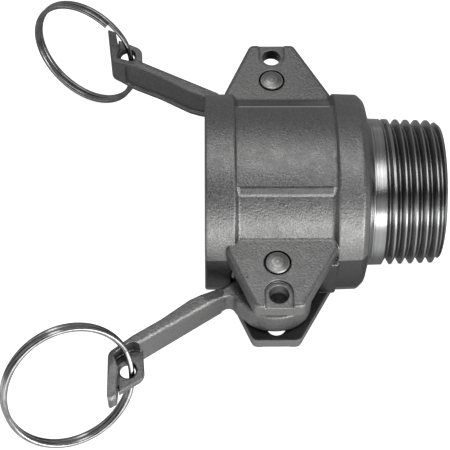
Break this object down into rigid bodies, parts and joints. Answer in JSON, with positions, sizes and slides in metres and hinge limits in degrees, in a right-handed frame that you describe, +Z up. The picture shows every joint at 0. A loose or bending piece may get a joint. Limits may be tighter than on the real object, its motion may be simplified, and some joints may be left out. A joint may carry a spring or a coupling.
{
  "type": "camlock coupling",
  "caption": "Female cam-and-groove coupler with two hinged cam arms, pull rings, a socket gasket and a male taper pipe thread.",
  "frame": {"origin": "centre of the socket's mouth plane, on the waterway axis", "axes": "+X along the waterway from the socket mouth to the thread end, +Y towards the rear cam arm, +Z up; the hinge pins stand along Z"},
  "size_m": [0.0958, 0.1127, 0.0446],
  "materials": {
    "cast_stainless": "blasted investment-cast stainless steel, machined and bright at the neck and thread",
    "cast_stainless_arm": "blasted investment-cast stainless steel",
    "pin_steel": "turned stainless steel with faint rings on the ends",
    "ring_wire": "bright drawn stainless wire",
    "gasket_rubber": "matt black nitrile rubber"
  },
  "bodies": {
    "coupler": {"coupler_body": "cast_stainless", "socket_gasket": "gasket_rubber", "rear_hinge_pin": "pin_steel", "front_hinge_pin": "pin_steel"},
    "rear_arm": {"rear_cam_arm": "cast_stainless_arm"},
    "front_arm": {"front_cam_arm": "cast_stainless_arm"},
    "rear_ring": {"rear_pull_ring": "ring_wire"},
    "front_ring": {"front_pull_ring": "ring_wire"}
  },
  "joints": [
    {"name": "rear_arm_swing", "type": "hinge", "parent": "coupler", "child": "rear_arm", "pos_m": [0.01554, 0.02407, 0], "axis": [0, 0, -1], "range_deg": [-2, 152]},
    {"name": "front_arm_swing", "type": "hinge", "parent": "coupler", "child": "front_arm", "pos_m": [0.01554, -0.02407, 0], "axis": [0, 0, 1], "range_deg": [-8, 145]},
    {"name": "rear_ring_swing", "type": "hinge", "parent": "rear_arm", "child": "rear_ring", "pos_m": [-0.01791, 0.03982, -0.00207], "axis": [0.2432, -0.3399, -0.9085], "range_deg": [-35, 55]},
    {"name": "front_ring_swing", "type": "hinge", "parent": "front_arm", "child": "front_ring", "pos_m": [-0.01574, -0.04373, -0.00187], "axis": [0.0225, -0.5381, -0.8426], "range_deg": [-30, 2]}
  ]
}
